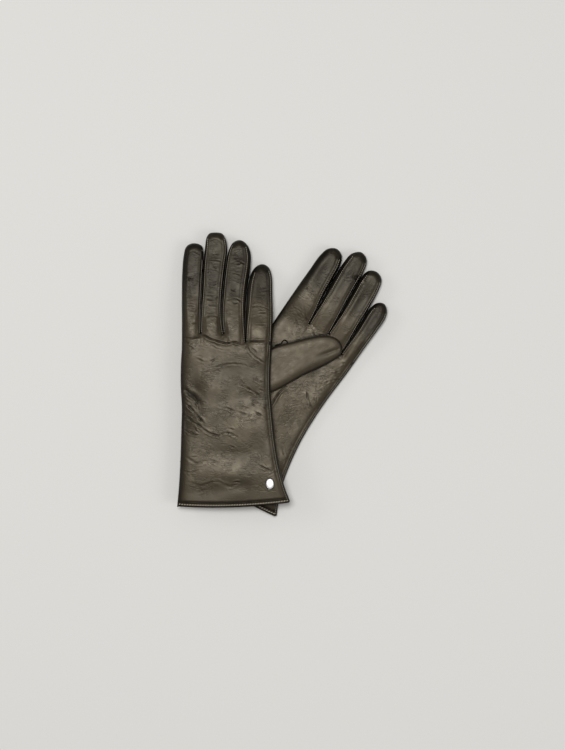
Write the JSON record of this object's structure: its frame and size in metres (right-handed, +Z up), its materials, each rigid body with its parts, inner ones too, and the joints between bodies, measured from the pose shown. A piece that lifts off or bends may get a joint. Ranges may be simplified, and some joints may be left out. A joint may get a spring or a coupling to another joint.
{
  "type": "pair of leather dress gloves",
  "caption": "Pair of long-cuffed lined leather dress gloves laid one across the other, with finger and thumb tubes that bend and a small plain oval badge.",
  "frame": {"origin": "centre of the pair's bounding box, at table height", "axes": "+X across the right glove's knuckles from index to little finger, +Y towards the right glove's fingertips, +Z up from the table"},
  "size_m": [0.2097, 0.2842, 0.0277],
  "materials": {
    "glove_leather": "dyed nappa lambskin, satin sheen",
    "fourchette_leather": "dyed nappa lambskin, satin sheen",
    "lining_knit": "fine brushed knit",
    "badge_metal": "polished",
    "seam_thread": "waxed sewing thread"
  },
  "bodies": {
    "left_hand": {"left_hand_back": "glove_leather", "left_hand_palm": "glove_leather", "left_hand_fold_edge": "glove_leather", "left_hand_side_seam": "glove_leather", "left_hand_hem": "glove_leather", "left_hand_lining": "lining_knit", "left_thumb_base": "glove_leather", "left_thumb_base_lining": "lining_knit"},
    "left_thumb": {"left_thumb_tip": "glove_leather", "left_thumb_tip_lining": "lining_knit"},
    "right_hand": {"right_hand_back": "glove_leather", "right_hand_palm": "glove_leather", "right_hand_fold_edge": "glove_leather", "right_hand_side_seam": "glove_leather", "right_hand_hem": "glove_leather", "right_hand_lining": "lining_knit", "right_badge_plate": "badge_metal", "right_badge_prongs": "badge_metal", "right_badge_backing": "badge_metal"},
    "right_thumb": {"right_thumb_base": "glove_leather", "right_thumb_tip": "glove_leather", "right_thumb_base_lining": "lining_knit", "right_thumb_tip_lining": "lining_knit"},
    "right_index": {"right_index_back_tongue": "glove_leather", "right_index_palm_tongue": "glove_leather", "right_index_sidewalls": "fourchette_leather", "right_index_lining": "lining_knit"},
    "right_middle": {"right_middle_back_tongue": "glove_leather", "right_middle_palm_tongue": "glove_leather", "right_middle_sidewalls": "fourchette_leather", "right_middle_lining": "lining_knit"},
    "right_ring": {"right_ring_back_tongue": "glove_leather", "right_ring_palm_tongue": "glove_leather", "right_ring_sidewalls": "fourchette_leather", "right_ring_lining": "lining_knit"},
    "right_little": {"right_little_back_tongue": "glove_leather", "right_little_palm_tongue": "glove_leather", "right_little_sidewalls": "fourchette_leather", "right_little_lining": "lining_knit"},
    "left_index": {"left_index_back_tongue": "glove_leather", "left_index_palm_tongue": "glove_leather", "left_index_sidewalls": "fourchette_leather", "left_index_lining": "lining_knit"},
    "left_middle": {"left_middle_back_tongue": "glove_leather", "left_middle_palm_tongue": "glove_leather", "left_middle_sidewalls": "fourchette_leather", "left_middle_lining": "lining_knit"},
    "left_ring": {"left_ring_back_tongue": "glove_leather", "left_ring_palm_tongue": "glove_leather", "left_ring_sidewalls": "fourchette_leather", "left_ring_lining": "lining_knit"},
    "left_little": {"left_little_back_tongue": "glove_leather", "left_little_palm_tongue": "glove_leather", "left_little_sidewalls": "fourchette_leather", "left_little_lining": "lining_knit"}
  },
  "joints": [
    {"name": "right_glove_lift", "type": "slide", "parent": "left_hand", "child": "right_hand", "axis": [0, 0, 1], "range_m": [0, 0.12]},
    {"name": "right_index_bend", "type": "hinge", "parent": "right_hand", "child": "right_index", "pos_m": [-0.092, 0.04008, 0.01997], "axis": [0.9994, -0.035, 0], "range_deg": [0, 50]},
    {"name": "right_middle_bend", "type": "hinge", "parent": "right_hand", "child": "right_middle", "pos_m": [-0.07136, 0.04208, 0.02163], "axis": [0.9995, -0.0328, 0], "range_deg": [0, 50]},
    {"name": "right_ring_bend", "type": "hinge", "parent": "right_hand", "child": "right_ring", "pos_m": [-0.04874, 0.03808, 0.02345], "axis": [0.9992, -0.0391, 0], "range_deg": [0, 50]},
    {"name": "right_little_bend", "type": "hinge", "parent": "right_hand", "child": "right_little", "pos_m": [-0.02402, 0.03208, 0.02544], "axis": [0.9997, -0.0229, 0], "range_deg": [0, 50]},
    {"name": "left_index_bend", "type": "hinge", "parent": "left_hand", "child": "left_index", "pos_m": [0.01279, 0.05921, 0.012], "axis": [0.842, -0.5394, 0], "range_deg": [0, 75]},
    {"name": "left_middle_bend", "type": "hinge", "parent": "left_hand", "child": "left_middle", "pos_m": [0.0365, 0.04766, 0.012], "axis": [0.8652, -0.5013, 0], "range_deg": [0, 75]},
    {"name": "left_ring_bend", "type": "hinge", "parent": "left_hand", "child": "left_ring", "pos_m": [0.05526, 0.0369, 0.012], "axis": [0.8559, -0.5172, 0], "range_deg": [0, 75]},
    {"name": "left_little_bend", "type": "hinge", "parent": "left_hand", "child": "left_little", "pos_m": [0.06755, 0.02195, 0.012], "axis": [0.8304, -0.5572, 0], "range_deg": [0, 75]},
    {"name": "left_thumb_fold", "type": "hinge", "parent": "left_hand", "child": "left_thumb", "pos_m": [0.00369, 0.00999, 0.0143], "axis": [0.3371, -0.9415, 0], "range_deg": [0, 60]},
    {"name": "right_thumb_swing", "type": "hinge", "parent": "right_hand", "child": "right_thumb", "pos_m": [-0.08437, -0.02804, 0.00704], "axis": [-0.0802, 0, 0.9968], "range_deg": [0, 55]}
  ]
}
